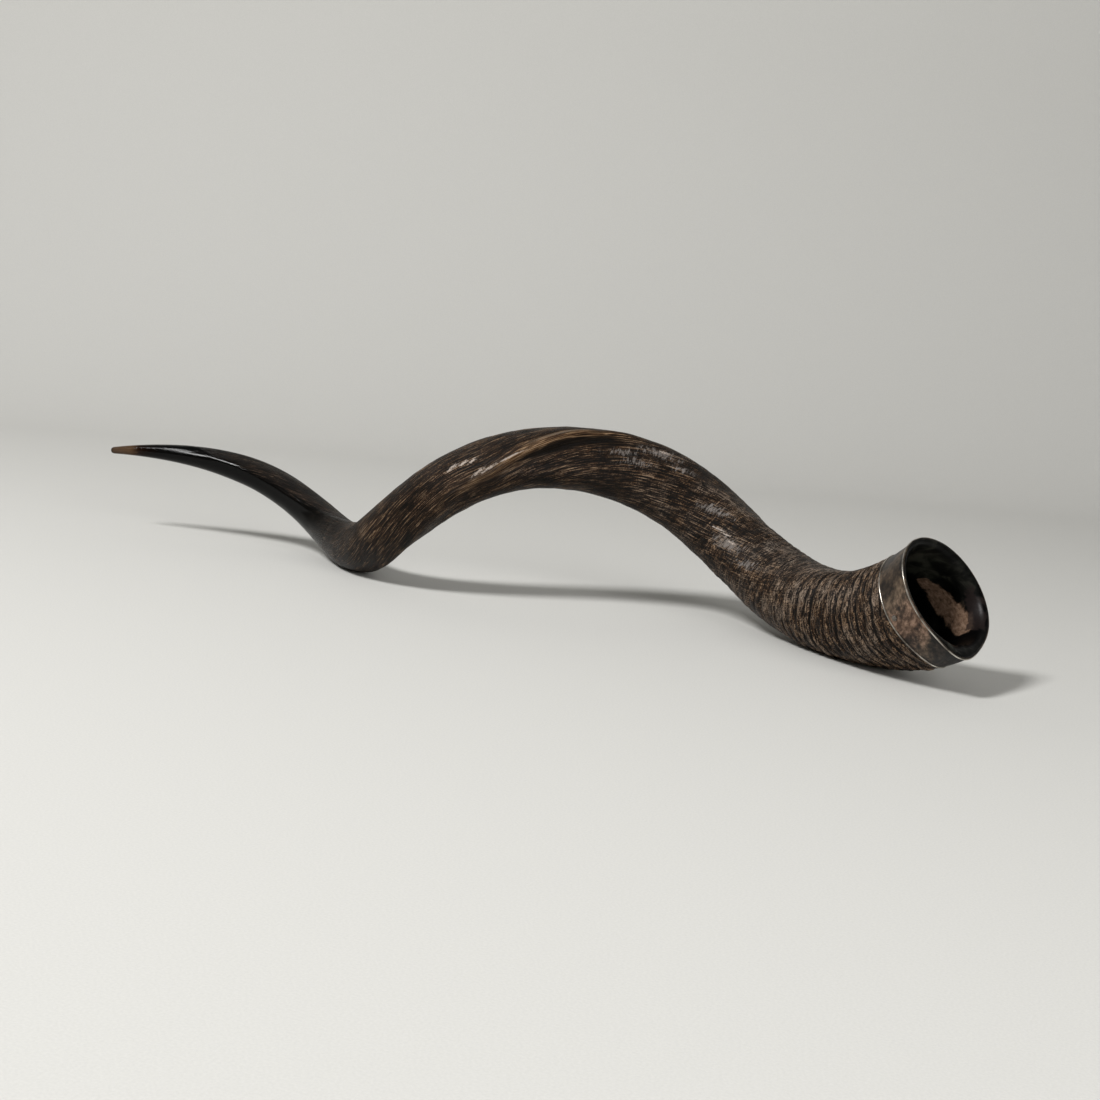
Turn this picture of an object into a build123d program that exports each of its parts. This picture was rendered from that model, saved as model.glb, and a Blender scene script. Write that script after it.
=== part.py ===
"""Shofar: a whole spiral horn with a sheet-metal collar nailed round its bell.

Millimetres, +Z up. The horn lies as it rests on a table, on the two low turns of its spiral.
+X runs from the tip to the bell, and the origin is on the table, under the middle of the
horn's bounding box.
"""
import os
from math import cos, exp, radians, sin, sqrt

from build123d import *

# ---- the horn -------------------------------------------------------------------------------
axis_length = 688.0             # tip to bell, straight along the axis of the spiral
axis_rise = 2.99                # degrees that the axis climbs towards the bell as the horn rests
roll = -5.9                     # degrees that the spiral is rolled about its axis as it rests
axis_start = Vector(-355.6, 5.6, 42.46)     # tip end of the axis

# Nine growth stations along the axis. Lengths are in mm and angles in degrees.
# Heights and depths are shares of the station's half width.
stations = {
    "along": (0, 90, 185, 280, 380, 475, 550, 620, 688),           # distance along the axis
    "swing": (21.5, 22.5, 34, 40.5, 41.5, 47, 47.5, 46, 50),       # axis to the horn's centre
    "turn": (30, -44, -134, -241, -346, -425, -489, -545, -603),   # angle round the axis
    "half": (2.5, 9.7, 14.8, 19.4, 21.5, 24.4, 26.6, 29.4, 38.5),  # half width of the section
    "keel": (0, 0.06, 0.10, 0.11, 0.11, 0.11, 0.11, 0.12, 0.15),   # height of the outer keel
    "groove": (0, 0.03, 0.05, 0.06, 0.06, 0.04, 0.03, 0.02, 0),    # hollow beside the keel
    "ridge": (0, 0.08, 0.10, 0.07, 0.04, 0.04, 0.05, 0.06, 0),     # height of the inner ridge
    "ridge_at": (95, 125, 172, 190, 200, 208, 216, 228, 236),      # where the inner ridge stands
    "bore": (1.1, 1.8, 4.0, 12, 17, 20.4, 22.6, 25.4, 34.1),       # half width of the hollow
}
keel_at = 45                    # where the keel stands, in degrees from the outward direction
groove_at = keel_at + 42
keel_spread = 24                # angular half widths of the keel, the groove and the ridge
groove_spread = 20
ridge_spread = 26

tip_rounding = 2.4              # length over which the tip is rounded off
tip_flat = 0.55                 # share of the tip's half width that is left flat
tip_steps = 5
thin_to = 95.0                  # the thin first part is drawn through fewer sections
thin_step = 11.5                # between sections there
plain_step = 8.5                # between sections where the horn is thick and smooth
collar_step = 3.4               # between sections by the collar
bell_from = 590.0               # where the hollow starts to flare
hollow_step = 24.0              # between the hollow's sections before and in the bell
bell_step = 11.0
outline_points = 16             # round each section
overshoot = 2.0                 # mm that a cut runs past an open end

# Growth rings, a crest and a furrow by turns, deepest by the collar. Crests stand at the
# station's half width. The smooth facet between the groove and the inner ridge has hardly any.
rings_from = 535.0              # along the axis
rings_full = 640.0
rings_to = 662.0                # they end under the collar's back edge
ring_pitch = 6.2                # from crest to crest along the axis
ring_depth = 1.1
ring_depths = (1, 0.55, 0.75)   # share of that depth that one furrow after another has
facet_at = 62                   # degrees from the middle of the smooth facet to the inner ridge
facet_spread = 46
facet_smooth = 0.9              # share of a furrow's depth that is missing there

# ---- the collar -----------------------------------------------------------------------------
collar_width = 24.0             # between its two parallel edges
collar_sheet = 0.8
seat_reach = 34.0               # the collar's seat is drawn from this far before the mouth
wire_radius = 0.6               # bead soldered along both edges, half of it in the sheet
wire_sides = 6
wire_setback = 0.75             # from the sheet's edge to the middle of the wire
wire_points = 24
nail_count = 3
nail_first_at = -28             # degrees from the outward direction
nail_from_mouth = 18.6
nail_head = 1.9                 # radius
nail_crown = 1.1                # height of the head
head_edge = 0.3                 # height of the head at its edge
head_shoulder, shoulder_height = 1.45, 0.82     # the hammered head's shoulder
head_flat = 0.65                # radius of the flat that is left on the crown
head_bed = 0.15                 # how far the head beds into the sheet
nail_shank = 0.7                # radius
nail_length = 3.4               # below the head, through the sheet and into the horn
nail_point = 1.2                # length of the point


def slopes(xs, ys):
    """Slope at each station, from the parabola through it and its two neighbours."""
    steps = [b - a for a, b in zip(xs, xs[1:])]
    rises = [(b - a) / h for a, b, h in zip(ys, ys[1:], steps)]
    inner = [
        (r0 * h1 + r1 * h0) / (h0 + h1)
        for r0, r1, h0, h1 in zip(rises, rises[1:], steps, steps[1:])
    ]
    return [2 * rises[0] - inner[0], *inner, 2 * rises[-1] - inner[-1]]


def value(name, along):
    """A station value at any distance along the axis, on a smooth cubic curve."""
    xs, ys = stations["along"], stations[name]
    grades = slopes(xs, ys)
    i = max(k for k in range(len(xs) - 1) if k == 0 or xs[k] <= along)
    step = xs[i + 1] - xs[i]
    t = (along - xs[i]) / step
    return (
        ys[i] * (1 + 2 * t) * (1 - t) ** 2 + step * grades[i] * t * (1 - t) ** 2
        + ys[i + 1] * t * t * (3 - 2 * t) + step * grades[i + 1] * t * t * (t - 1)
    )


# The axis as it rests, with "up" and "side" square to it
axis = Vector(cos(radians(axis_rise)), 0, sin(radians(axis_rise)))
up = Vector(-sin(radians(axis_rise)), 0, cos(radians(axis_rise)))
side = axis.cross(up)


def centre(along):
    """The horn's centre at a distance along the axis."""
    turn = radians(value("turn", along) + roll)
    swing = value("swing", along)
    return axis_start + axis * along + up * (swing * cos(turn)) + side * (swing * sin(turn))


def square_plane(along, towards):
    """The plane square to the horn there, with X as near as can be to a direction."""
    heading = (centre(along + 0.5) - centre(along - 0.5)).normalized()
    return Plane(
        origin=centre(along), x_dir=towards - heading * towards.dot(heading), z_dir=heading
    )


def section_plane(along):
    """Square to the horn, X away from the spiral's axis: the keel and ridge turn with it."""
    return square_plane(along, centre(along) - (axis_start + axis * along))


def hollow_plane(along):
    """Square to the horn, X always to the same side: the round hollow doesn't turn."""
    return square_plane(along, side)


def bump(angle, spread):
    """A smooth hump, 1 high where angle is 0. Both are in degrees."""
    angle = (angle + 180) % 360 - 180
    return exp(-((angle / spread) ** 2))


def swell(along, angle):
    """How far the section stands off a circle there, as a share of its half width."""
    return (
        value("keel", along) * bump(angle - keel_at, keel_spread)
        - value("groove", along) * bump(angle - groove_at, groove_spread)
        + value("ridge", along) * bump(angle - value("ridge_at", along), ridge_spread)
    )


def section_points(radius_at):
    """Points round a section, starting on the keel. radius_at gives the radius at an angle."""
    angles = [keel_at + 360 * k / outline_points for k in range(outline_points)]
    return [(radius_at(a) * cos(radians(a)), radius_at(a) * sin(radians(a))) for a in angles]


def rounded(along):
    """Share of the station's half width that the rounded tip has there."""
    short = max(0.0, 1 - along / tip_rounding)
    return tip_flat + (1 - tip_flat) * sqrt(1 - short**2)


def furrow(along, angle, share):
    """Depth of a growth ring's furrow there. share is 0 on a crest."""
    grown = min(1.0, max(0.0, (along - rings_from) / (rings_full - rings_from)))
    smooth = facet_smooth * bump(angle - value("ridge_at", along) + facet_at, facet_spread)
    return ring_depth * share * grown * (1 - smooth)


def outer_section(along, inset=0.0, share=0.0):
    half = value("half", along) * rounded(along) - inset
    return section_points(
        lambda angle: half * (1 + swell(along, angle)) - furrow(along, angle, share)
    )


def hollow_section(along):
    return section_points(lambda angle: value("bore", along))


def spaced(first, last, step):
    """Distances from first to last, evenly spaced by about the step."""
    count = round((last - first) / step)
    return [first + (last - first) * k / count for k in range(count + 1)]


mouth = section_plane(axis_length)
collar_back = mouth.offset(-collar_width)


def section_face(plane, points):
    """A closed section on a plane, with its one corner on the keel."""
    closed = [Vector(*point) for point in (*points, points[0])]
    even = [k / len(points) for k in range(len(closed))]
    with BuildSketch(plane) as section:
        with BuildLine():
            add(Edge.make_spline(closed, parameters=even))
        make_face()
    return section.sketch


def surface_plane(along, angle):
    """The plane that touches the horn's outer surface there, with Z outwards."""
    def point(a, b):
        reach, turn = value("half", a) * (1 + swell(a, b)), radians(b)
        return section_plane(a).from_local_coords(Vector(reach * cos(turn), reach * sin(turn)))

    lengthwise = point(along + 0.5, angle) - point(along - 0.5, angle)
    crosswise = point(along, angle + 1) - point(along, angle - 1)
    return Plane(origin=point(along, angle), x_dir=lengthwise, z_dir=crosswise.cross(lengthwise))


# ---- the horn's outer form, before it is hollowed and seated --------------------------------
# Sections are joined by straight-ruled skin, so that each growth ring keeps its crest and furrow.
smooth_stations = [
    *spaced(0, tip_rounding, tip_rounding / tip_steps),
    *spaced(tip_rounding, thin_to, thin_step)[1:],
    *spaced(thin_to, rings_from, plain_step)[1:],
]
ring_stations = spaced(rings_from, rings_to, ring_pitch / 2)[1:-1]
collar_stations = spaced(rings_to, axis_length, collar_step)

horn_sections = [section_face(section_plane(a), outer_section(a)) for a in smooth_stations]
for number, a in enumerate(ring_stations):
    share = 0 if number % 2 else ring_depths[number // 2 % len(ring_depths)]
    horn_sections.append(section_face(section_plane(a), outer_section(a, share=share)))
horn_sections += [section_face(section_plane(a), outer_section(a)) for a in collar_stations]
with BuildPart() as horn_blank:
    loft(horn_sections, ruled=True)

# ---- nails: hammered head on a straight shank, driven through the sheet into the horn --------
nail_angles = [nail_first_at + 360 * k / nail_count for k in range(nail_count)]


def nail_seat(angle):
    """The plane on the band where a nail goes in: its distance from the mouth is given."""
    low, high = axis_length - seat_reach, axis_length
    while high - low > 0.01:
        middle = (low + high) / 2
        if -mouth.to_local_coords(surface_plane(middle, angle).origin).Z > nail_from_mouth:
            low = middle
        else:
            high = middle
    return surface_plane(low, angle)


# One nail, standing on Z = 0 where its seat will be, with the head bedded slightly below that
with BuildPart() as nail:
    with BuildSketch(Plane.XZ):
        with BuildLine():
            Polyline(
                (0, -nail_length), (nail_shank, nail_point - nail_length),
                (nail_shank, -head_bed), (nail_head, -head_bed), (nail_head, head_edge),
                (head_shoulder, shoulder_height), (head_flat, nail_crown), (0, nail_crown),
                close=True,
            )
        make_face()
    revolve(axis=Axis.Z)

nails = [nail.part.moved(nail_seat(angle).location) for angle in nail_angles]

# ---- collar_band: one strip of sheet bent round the bell, flush with the horn behind it -----
seat_sections = [
    section_face(section_plane(a), outer_section(a, inset=collar_sheet))
    for a in spaced(axis_length - seat_reach, axis_length, collar_step)
]
seat_sections.append(
    section_face(mouth.offset(overshoot), outer_section(axis_length, inset=collar_sheet))
)
with BuildPart() as undrilled_band:
    add(horn_blank.part)
    split(bisect_by=collar_back, keep=Keep.TOP)
    loft(seat_sections, ruled=True, mode=Mode.SUBTRACT)
with BuildPart() as collar_band:
    add(undrilled_band.part)
    for driven in nails:
        add(driven, mode=Mode.SUBTRACT)

# ---- horn: the blank less the collar's seat, the hollow and the nail holes ------------------
hollow_stations = [
    *spaced(0, bell_from, hollow_step),
    *spaced(bell_from, axis_length, bell_step)[1:],
]
hollow_sections = [section_face(hollow_plane(a), hollow_section(a)) for a in hollow_stations]
blow_hole, throat = hollow_plane(0), hollow_plane(axis_length)
hollow_sections.insert(0, section_face(blow_hole.offset(-overshoot), hollow_section(0)))
hollow_sections.append(section_face(throat.offset(overshoot), hollow_section(axis_length)))
with BuildPart() as horn:
    add(horn_blank.part)
    add(undrilled_band.part, mode=Mode.SUBTRACT)
    loft(hollow_sections, ruled=True, mode=Mode.SUBTRACT)
    for driven in nails:
        add(driven, mode=Mode.SUBTRACT)


# ---- edge wires: a bead soldered round both edges of the band --------------------------------
def edge_wire(edge_plane):
    """A wire along the band where the plane cuts it, less what lies in the band."""
    cut = section(collar_band.part, section_by=edge_plane, mode=Mode.PRIVATE)
    outline = cut.faces()[0].outer_wire()
    route_points = [outline @ ((k + 0.5) / wire_points) for k in range(wire_points)]
    with BuildPart() as wire:
        with BuildLine() as route:
            Spline(*route_points, periodic=True)
        with BuildSketch(Plane(origin=route.line @ 0, z_dir=route.line % 0)):
            RegularPolygon(wire_radius, wire_sides)
        sweep()
        add(collar_band.part, mode=Mode.SUBTRACT)
        add(horn.part, mode=Mode.SUBTRACT)
    return wire.part


rim_wire = edge_wire(mouth.offset(-wire_setback))
back_wire = edge_wire(collar_back.offset(wire_setback))

# ---- finished pieces --------------------------------------------------------------------------
horn.part.label = "horn"
collar_band.part.label = "collar_band"
rim_wire.label = "rim_wire"
back_wire.label = "back_wire"
pieces = [horn.part, collar_band.part, rim_wire, back_wire]
for number, driven in enumerate(nails, start=1):
    driven.label = f"collar_nail_{number}"
    pieces.append(driven)

os.makedirs("parts", exist_ok=True)
for piece in pieces:
    export_step(piece, f"parts/{piece.label}.step")
    print(piece.label, round(piece.volume), "mm3", "valid" if piece.is_valid else "NOT VALID")

everything = Compound(children=pieces).bounding_box()
print("low corner", everything.min, "high corner", everything.max)
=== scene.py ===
from functools import partial
from math import cos, pi, radians, sin

import bpy
import numpy as np
from mathutils import Matrix, Vector


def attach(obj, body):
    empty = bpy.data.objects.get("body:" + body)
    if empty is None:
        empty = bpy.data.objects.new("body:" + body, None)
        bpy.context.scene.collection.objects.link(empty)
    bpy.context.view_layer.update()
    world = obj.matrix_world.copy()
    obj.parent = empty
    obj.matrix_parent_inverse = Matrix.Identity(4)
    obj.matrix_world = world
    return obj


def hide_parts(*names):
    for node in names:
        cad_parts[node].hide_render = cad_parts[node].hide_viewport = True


# The looks of a shofar: a whole spiral horn with a sheet-metal collar nailed round its bell.
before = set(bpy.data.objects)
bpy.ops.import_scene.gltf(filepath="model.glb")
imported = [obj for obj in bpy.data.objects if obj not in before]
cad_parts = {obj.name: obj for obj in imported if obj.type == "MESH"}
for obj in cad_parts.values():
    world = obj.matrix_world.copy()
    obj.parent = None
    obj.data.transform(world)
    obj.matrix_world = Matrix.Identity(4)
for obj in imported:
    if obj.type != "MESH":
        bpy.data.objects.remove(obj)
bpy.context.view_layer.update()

MM = 0.001                      # everything below is in metres

# ---- the spiral's axis, and nine growth stations along it -------------------------------------
# Swing, turn and half are the rounded result of a least-squares fit of the horn's outline, and the
# axis's place, its rise and roll, and the camera's place and turn follow from that fit. The other
# rows were chosen.
AXIS_LENGTH = 688.0 * MM
AXIS_RISE = radians(2.99)
ROLL = radians(-5.9)
AXIS_START = np.array((-355.6, 5.6, 42.46)) * MM
STATIONS = {
    "along": np.array((0, 90, 185, 280, 380, 475, 550, 620, 688)) * MM,
    "swing": np.array((21.5, 22.5, 34, 40.5, 41.5, 47, 47.5, 46, 50)) * MM,
    "turn": np.radians((30, -44, -134, -241, -346, -425, -489, -545, -603)),
    "half": np.array((2.5, 9.7, 14.8, 19.4, 21.5, 24.4, 26.6, 29.4, 38.5)) * MM,
    "keel": np.array((0, 0.06, 0.10, 0.11, 0.11, 0.11, 0.11, 0.12, 0.15)),
    "groove": np.array((0, 0.03, 0.05, 0.06, 0.06, 0.04, 0.03, 0.02, 0)),
    "ridge": np.array((0, 0.08, 0.10, 0.07, 0.04, 0.04, 0.05, 0.06, 0)),
    "ridge_at": np.radians((95, 125, 172, 190, 200, 208, 216, 228, 236)),
    "bore": np.array((1.1, 1.8, 4.0, 12, 17, 20.4, 22.6, 25.4, 34.1)) * MM,
}
KEEL_AT = radians(45)
GROOVE_AT = KEEL_AT + radians(42)
KEEL_SPREAD, GROOVE_SPREAD, RIDGE_SPREAD = radians(24), radians(20), radians(26)
FACET_AT, FACET_SPREAD = radians(62), radians(46)    # the smooth facet, before the inner ridge
SHARP_AT, SHARP_LENGTH = 165.0 * MM, 90.0 * MM       # where the inner ridge is sharpest

# ---- how finely the horn's skin is drawn -------------------------------------------------------
COLUMNS = 128
PLAIN_STEP = 1.8 * MM           # between rows where the horn is smooth
RING_STEP = 0.56 * MM           # between rows where growth rings run round it
SEAT_STEP = 1.5 * MM            # under the collar
HOLLOW_STEP = 8.0 * MM
TIP_ROUNDING = 2.4 * MM
TIP_FLAT = 0.55                 # share of the tip's half width that is left flat
TIP_ROWS = 8
RIM_ROWS = 7
LIP_ROUNDING = 2.5 * MM
RINGS_FROM = 455.0 * MM         # along the axis
SEAT_FROM = 671.0 * MM

# ---- the collar ---------------------------------------------------------------------------------
COLLAR_WIDTH = 24.0 * MM
COLLAR_SHEET = 0.8 * MM
BAND_COLUMNS = 220
BAND_ROWS = 26
COPPER_AT, COPPER_SPREAD = radians(346), radians(34)     # where the sheet is rubbed most
LOW_SHADE_AT, LOW_SHADE_SPREAD = radians(32), radians(38)          # and where shade is painted, on its lower side
WIRE_RADIUS = 0.55 * MM
WIRE_COLUMNS = 220
WIRE_SETBACK = 0.75 * MM
NAIL_COUNT = 3
NAIL_FIRST_AT = radians(-28)
NAIL_FROM_MOUTH = 18.6 * MM
NAIL_HEAD = 1.9 * MM
NAIL_CROWN = 1.1 * MM
NAIL_EDGE = 0.3 * MM
NAIL_BED = 0.15 * MM
NAIL_SHANK = 0.7 * MM
NAIL_LENGTH = 3.4 * MM
NAIL_POINT = 1.2 * MM

# ---- relief and colour along the horn ------------------------------------------------------------
# The crest's and the edge's places, and many of the spots' below, were read off with a program that
# finds arc length and angle on the skin, and some were then moved by hand.
RING_SPACING = 7.2 * MM
RING_DEPTH = 2.3 * MM
RING_WAVER = 2.4                # how many rings one may stray by
RING_BREADTH = 0.55             # the lower, the broader the crests and the narrower the furrows
FACET_SMOOTH = 0.92             # share of a ring's height that the smooth facet lacks
CHIPS_FADE = 8 * MM             # length over which the chips begin
HORN_IOR = 1.54

# Cells to a metre of each pattern, across and then along it. Real fibres are finer than these,
# which are drawn as coarse as they need to show.
FIBRE_CELLS = (2000.0, 2000.0, 70.0)        # 0.5 mm across, 14 mm long
HAIR_CELLS = (1000.0, 1000.0, 30.0)         # 1 mm across, 33 mm long
GROWTH_LINE_CELLS = (170.0, 170.0, 1000.0)  # 6 mm round the horn, 1 mm apart
CREASE_CELLS = (55.0, 55.0, 230.0)          # 18 mm round the horn, 4 mm apart
FLAKE_CELLS = (200.0, 200.0, 680.0)         # 5 mm round the horn, 1.5 mm along it
RING_LINE_CELLS = (75.0, 75.0, 520.0)       # 13 mm round the horn, 2 mm apart
MOTTLE_CELLS = 55.0                         # 18 mm
GRIT_CELLS = 1100.0                         # 0.9 mm
SCRATCH_CELLS = (1500.0, 1500.0, 160.0)     # 0.7 mm across, 6 mm long, on the collar
CREST_ARC = np.array((345, 357, 381, 395, 407, 431, 446, 474, 500)) * MM     # the keel's crest
CREST_ANGLE = np.radians((34, 36, 41, 50, 57, 53, 52, 46, 44))
STREAK_MIDDLE, STREAK_LENGTH = 438.0 * MM, 50.0 * MM     # where it is rubbed
EDGE_ARC = np.array((60, 76, 88, 98, 116, 135, 160, 185, 210)) * MM     # the fibrous facet's edge
EDGE_ANGLE = np.radians((20, 70, 112, 125, 147, 166, 183, 190, 188))
FOLD_AT, FOLD_LENGTH = 463.0 * MM, 36.0 * MM     # where a fold undercuts it
TIP_SPAN = 0.30                 # the tip's colours are spread over this length
TIP_COLOURS = (
    (0.0, "#17100A"), (0.006, "#45362A"), (0.06, "#483524"), (0.08, "#180B05"), (0.11, "#090402"),
    (0.15, "#040404"), (0.8, "#060504"),
)
BROWNS = (
    (0.14, "#050301"), (0.34, "#0E0804"), (0.50, "#1E130B"), (0.66, "#362517"), (0.84, "#5E4835"),
    (1.06, "#927A62"),
)
GREYS = ((0.14, "#0A0807"), (0.44, "#221D19"), (0.68, "#463E37"), (1.00, "#857A70"))
TANS = ((0.25, "#150D07"), (0.45, "#2F2015"), (0.70, "#5A422D"), (1.0, "#9C8062"))

# Spots on the skin: arc length in millimetres, angle round the horn in degrees, and half length
# and half width in the same two measures
# scuffed bare horn, painted pale grey that also stands for its sheen
BRUSHED_SHEEN_SPOTS = (
    (526, 74, 14, 11), (513, 103, 10, 9), (500, 84, 10, 7), (545, 95, 10, 8), (584, 144, 16, 9),
    (612, 187, 15, 12), (640, 205, 12, 8),
)
# polished nicks of bare horn, with painted highlights on them
GLINT_SPOTS = (
    (388, 11, 4, 4), (395, 19, 3, 3), (401, 26, 3, 3), (401, 50, 5, 3), (409, 55, 6, 2.5),
    (424, 55.5, 11, 1.5), (528, 68, 4, 2), (597, 171, 6, 1.8), (606, 174, 5, 1.3), (614, 183, 4, 2),
)
TAN_SPOTS = ((784, 138, 12, 21), (798, 112, 10, 19), (791, 125, 9, 17), (778, 162, 6, 11))
PURPLE_SPOTS = ((809, 122, 8, 27),)
OLIVE_SPOTS = ((802, 212, 16, 31), (785, 185, 14, 25))


def slopes(xs, ys):
    """Slope at each station, from the parabola through it and its two neighbours."""
    steps = np.diff(xs)
    rises = np.diff(ys) / steps
    inner = (rises[:-1] * steps[1:] + rises[1:] * steps[:-1]) / (steps[:-1] + steps[1:])
    return np.concatenate(([2 * rises[0] - inner[0]], inner, [2 * rises[-1] - inner[-1]]))


def value(name, along):
    """A station value at any distances along the axis, on a smooth cubic curve."""
    xs, ys = STATIONS["along"], STATIONS[name]
    grades = slopes(xs, ys)
    i = np.clip(np.searchsorted(xs, along, side="right") - 1, 0, len(xs) - 2)
    step = xs[i + 1] - xs[i]
    t = (along - xs[i]) / step
    return (
        ys[i] * (1 + 2 * t) * (1 - t) ** 2 + step * grades[i] * t * (1 - t) ** 2
        + ys[i + 1] * t * t * (3 - 2 * t) + step * grades[i + 1] * t * t * (t - 1)
    )


AXIS = np.array((cos(AXIS_RISE), 0, sin(AXIS_RISE)))
UP = np.array((-sin(AXIS_RISE), 0, cos(AXIS_RISE)))
SIDE = np.cross(AXIS, UP)


def unit(vectors):
    return vectors / np.linalg.norm(vectors, axis=-1, keepdims=True)


def centre(along):
    """The horn's centre at distances along the axis."""
    turn = value("turn", along) + ROLL
    swing = value("swing", along)
    up, side = swing * np.cos(turn), swing * np.sin(turn)
    return AXIS_START + along[..., None] * AXIS + up[..., None] * UP + side[..., None] * SIDE


def section_frame(along):
    """Centre, outward, across and heading of the sections at distances along the axis."""
    here, nudge = centre(along), 0.5 * MM
    heading = unit(centre(along + nudge) - centre(along - nudge))
    outward = here - AXIS_START - along[..., None] * AXIS
    outward = unit(outward - heading * np.sum(outward * heading, axis=-1, keepdims=True))
    return here, outward, np.cross(heading, outward), heading


def arc_length(along):
    """Length of the horn from its tip, measured along its centre."""
    fine = np.linspace(0, AXIS_LENGTH, 2000)
    steps = np.linalg.norm(np.diff(centre(fine), axis=0), axis=1)
    return np.interp(along, fine, np.concatenate(([0], np.cumsum(steps))))


def bump(angle, spread):
    angle = (angle + pi) % (2 * pi) - pi
    return np.exp(-((angle / spread) ** 2))


def outer_surface(along, angle, inset=0.0):
    """Points of the horn's outer surface."""
    swell = (
        value("keel", along) * bump(angle - KEEL_AT, KEEL_SPREAD)
        - value("groove", along) * bump(angle - GROOVE_AT, GROOVE_SPREAD)
        + value("ridge", along) * bump(angle - value("ridge_at", along), RIDGE_SPREAD)
    )
    radius = (value("half", along) - inset) * (1 + swell)
    here, outward, across, _ = section_frame(along)
    x, y = radius * np.cos(angle), radius * np.sin(angle)
    return here + x[..., None] * outward + y[..., None] * across


MOUTH, _, _, MOUTH_FACING = (v[0] for v in section_frame(np.array([AXIS_LENGTH])))


# ---- node trees -----------------------------------------------------------------------------------
MATH, VECTOR, NOISE = "ShaderNodeMath", "ShaderNodeVectorMath", "ShaderNodeTexNoise"
RANGE, MIX, RAMP = "ShaderNodeMapRange", "ShaderNodeMix", "ShaderNodeValToRGB"
READ, STORE = "GeometryNodeInputNamedAttribute", "GeometryNodeStoreNamedAttribute"
ATTRIBUTE = "ShaderNodeAttribute"


def add(tree, kind, inputs=(), **settings):
    """Adds a node, fills its inputs by order or by name, and returns its first output."""
    node = tree.nodes.new(kind)
    stops = settings.pop("stops", ())
    if stops:
        ramp = node.color_ramp.elements
        ramp.remove(ramp[1])
        ramp[0].position = stops[0][0]
        for _ in stops[1:]:
            ramp.new(1.0)
        for element, (place, code) in zip(ramp, stops):
            element.position, element.color = place, colour(code)
    for name, setting in settings.items():
        setattr(node, name, setting)
    sockets = [s for s in node.inputs if s.enabled]
    named = {s.name: s for s in sockets}
    pairs = inputs.items() if isinstance(inputs, dict) else enumerate(inputs)
    for key, given in pairs:
        socket = named[key] if isinstance(key, str) else sockets[key]
        if isinstance(given, bpy.types.NodeSocket):
            tree.links.new(given, socket)
        elif given is not None:
            socket.default_value = given
    return next((s for s in node.outputs if s.enabled), None)


def geometry_tree(name, **inputs):
    """A new Geometry Nodes tree and its inputs by name, the first of them the geometry."""
    tree = bpy.data.node_groups.new(name, "GeometryNodeTree")
    tree.interface.new_socket("Geometry", in_out="INPUT", socket_type="NodeSocketGeometry")
    for label, kind in inputs.items():
        tree.interface.new_socket(label, in_out="INPUT", socket_type=f"NodeSocket{kind}")
    tree.interface.new_socket("Geometry", in_out="OUTPUT", socket_type="NodeSocketGeometry")
    group = tree.nodes.new("NodeGroupInput")
    return tree, {socket.name: socket for socket in group.outputs if socket.name}


def grown(name, start, tree, **values):
    """Runs a tree on a starting mesh with these input values, and returns a plain mesh object."""
    seed = bpy.data.objects.new(name + "_start", start)
    bpy.context.scene.collection.objects.link(seed)
    modifier = seed.modifiers.new("grow", "NODES")
    modifier.node_group = tree
    for item in tree.interface.items_tree:
        if item.item_type == "SOCKET" and item.in_out == "INPUT" and item.name in values:
            modifier[item.identifier] = values[item.name]
    graph = bpy.context.evaluated_depsgraph_get()
    mesh = bpy.data.meshes.new_from_object(
        seed.evaluated_get(graph), preserve_all_data_layers=True, depsgraph=graph
    )
    bpy.data.objects.remove(seed)
    piece = bpy.data.objects.new(name, mesh)
    bpy.context.scene.collection.objects.link(piece)
    return piece


def with_attributes(name, points, faces=(), edges=(), **attributes):
    """A mesh of these points, with per-point numbers and vectors stored on it."""
    mesh = bpy.data.meshes.new(name)
    mesh.from_pydata([tuple(p) for p in points], [tuple(e) for e in edges], [tuple(f) for f in faces])
    for label, numbers in attributes.items():
        store(mesh, label, numbers)
    return mesh


def store(mesh, label, numbers):
    kind, slot = ("FLOAT", "value") if numbers.ndim == 1 else ("FLOAT_VECTOR", "vector")
    layer = mesh.attributes.new(label, kind, "POINT")
    layer.data.foreach_set(slot, np.ascontiguousarray(numbers, dtype=np.float32).ravel())


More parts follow.
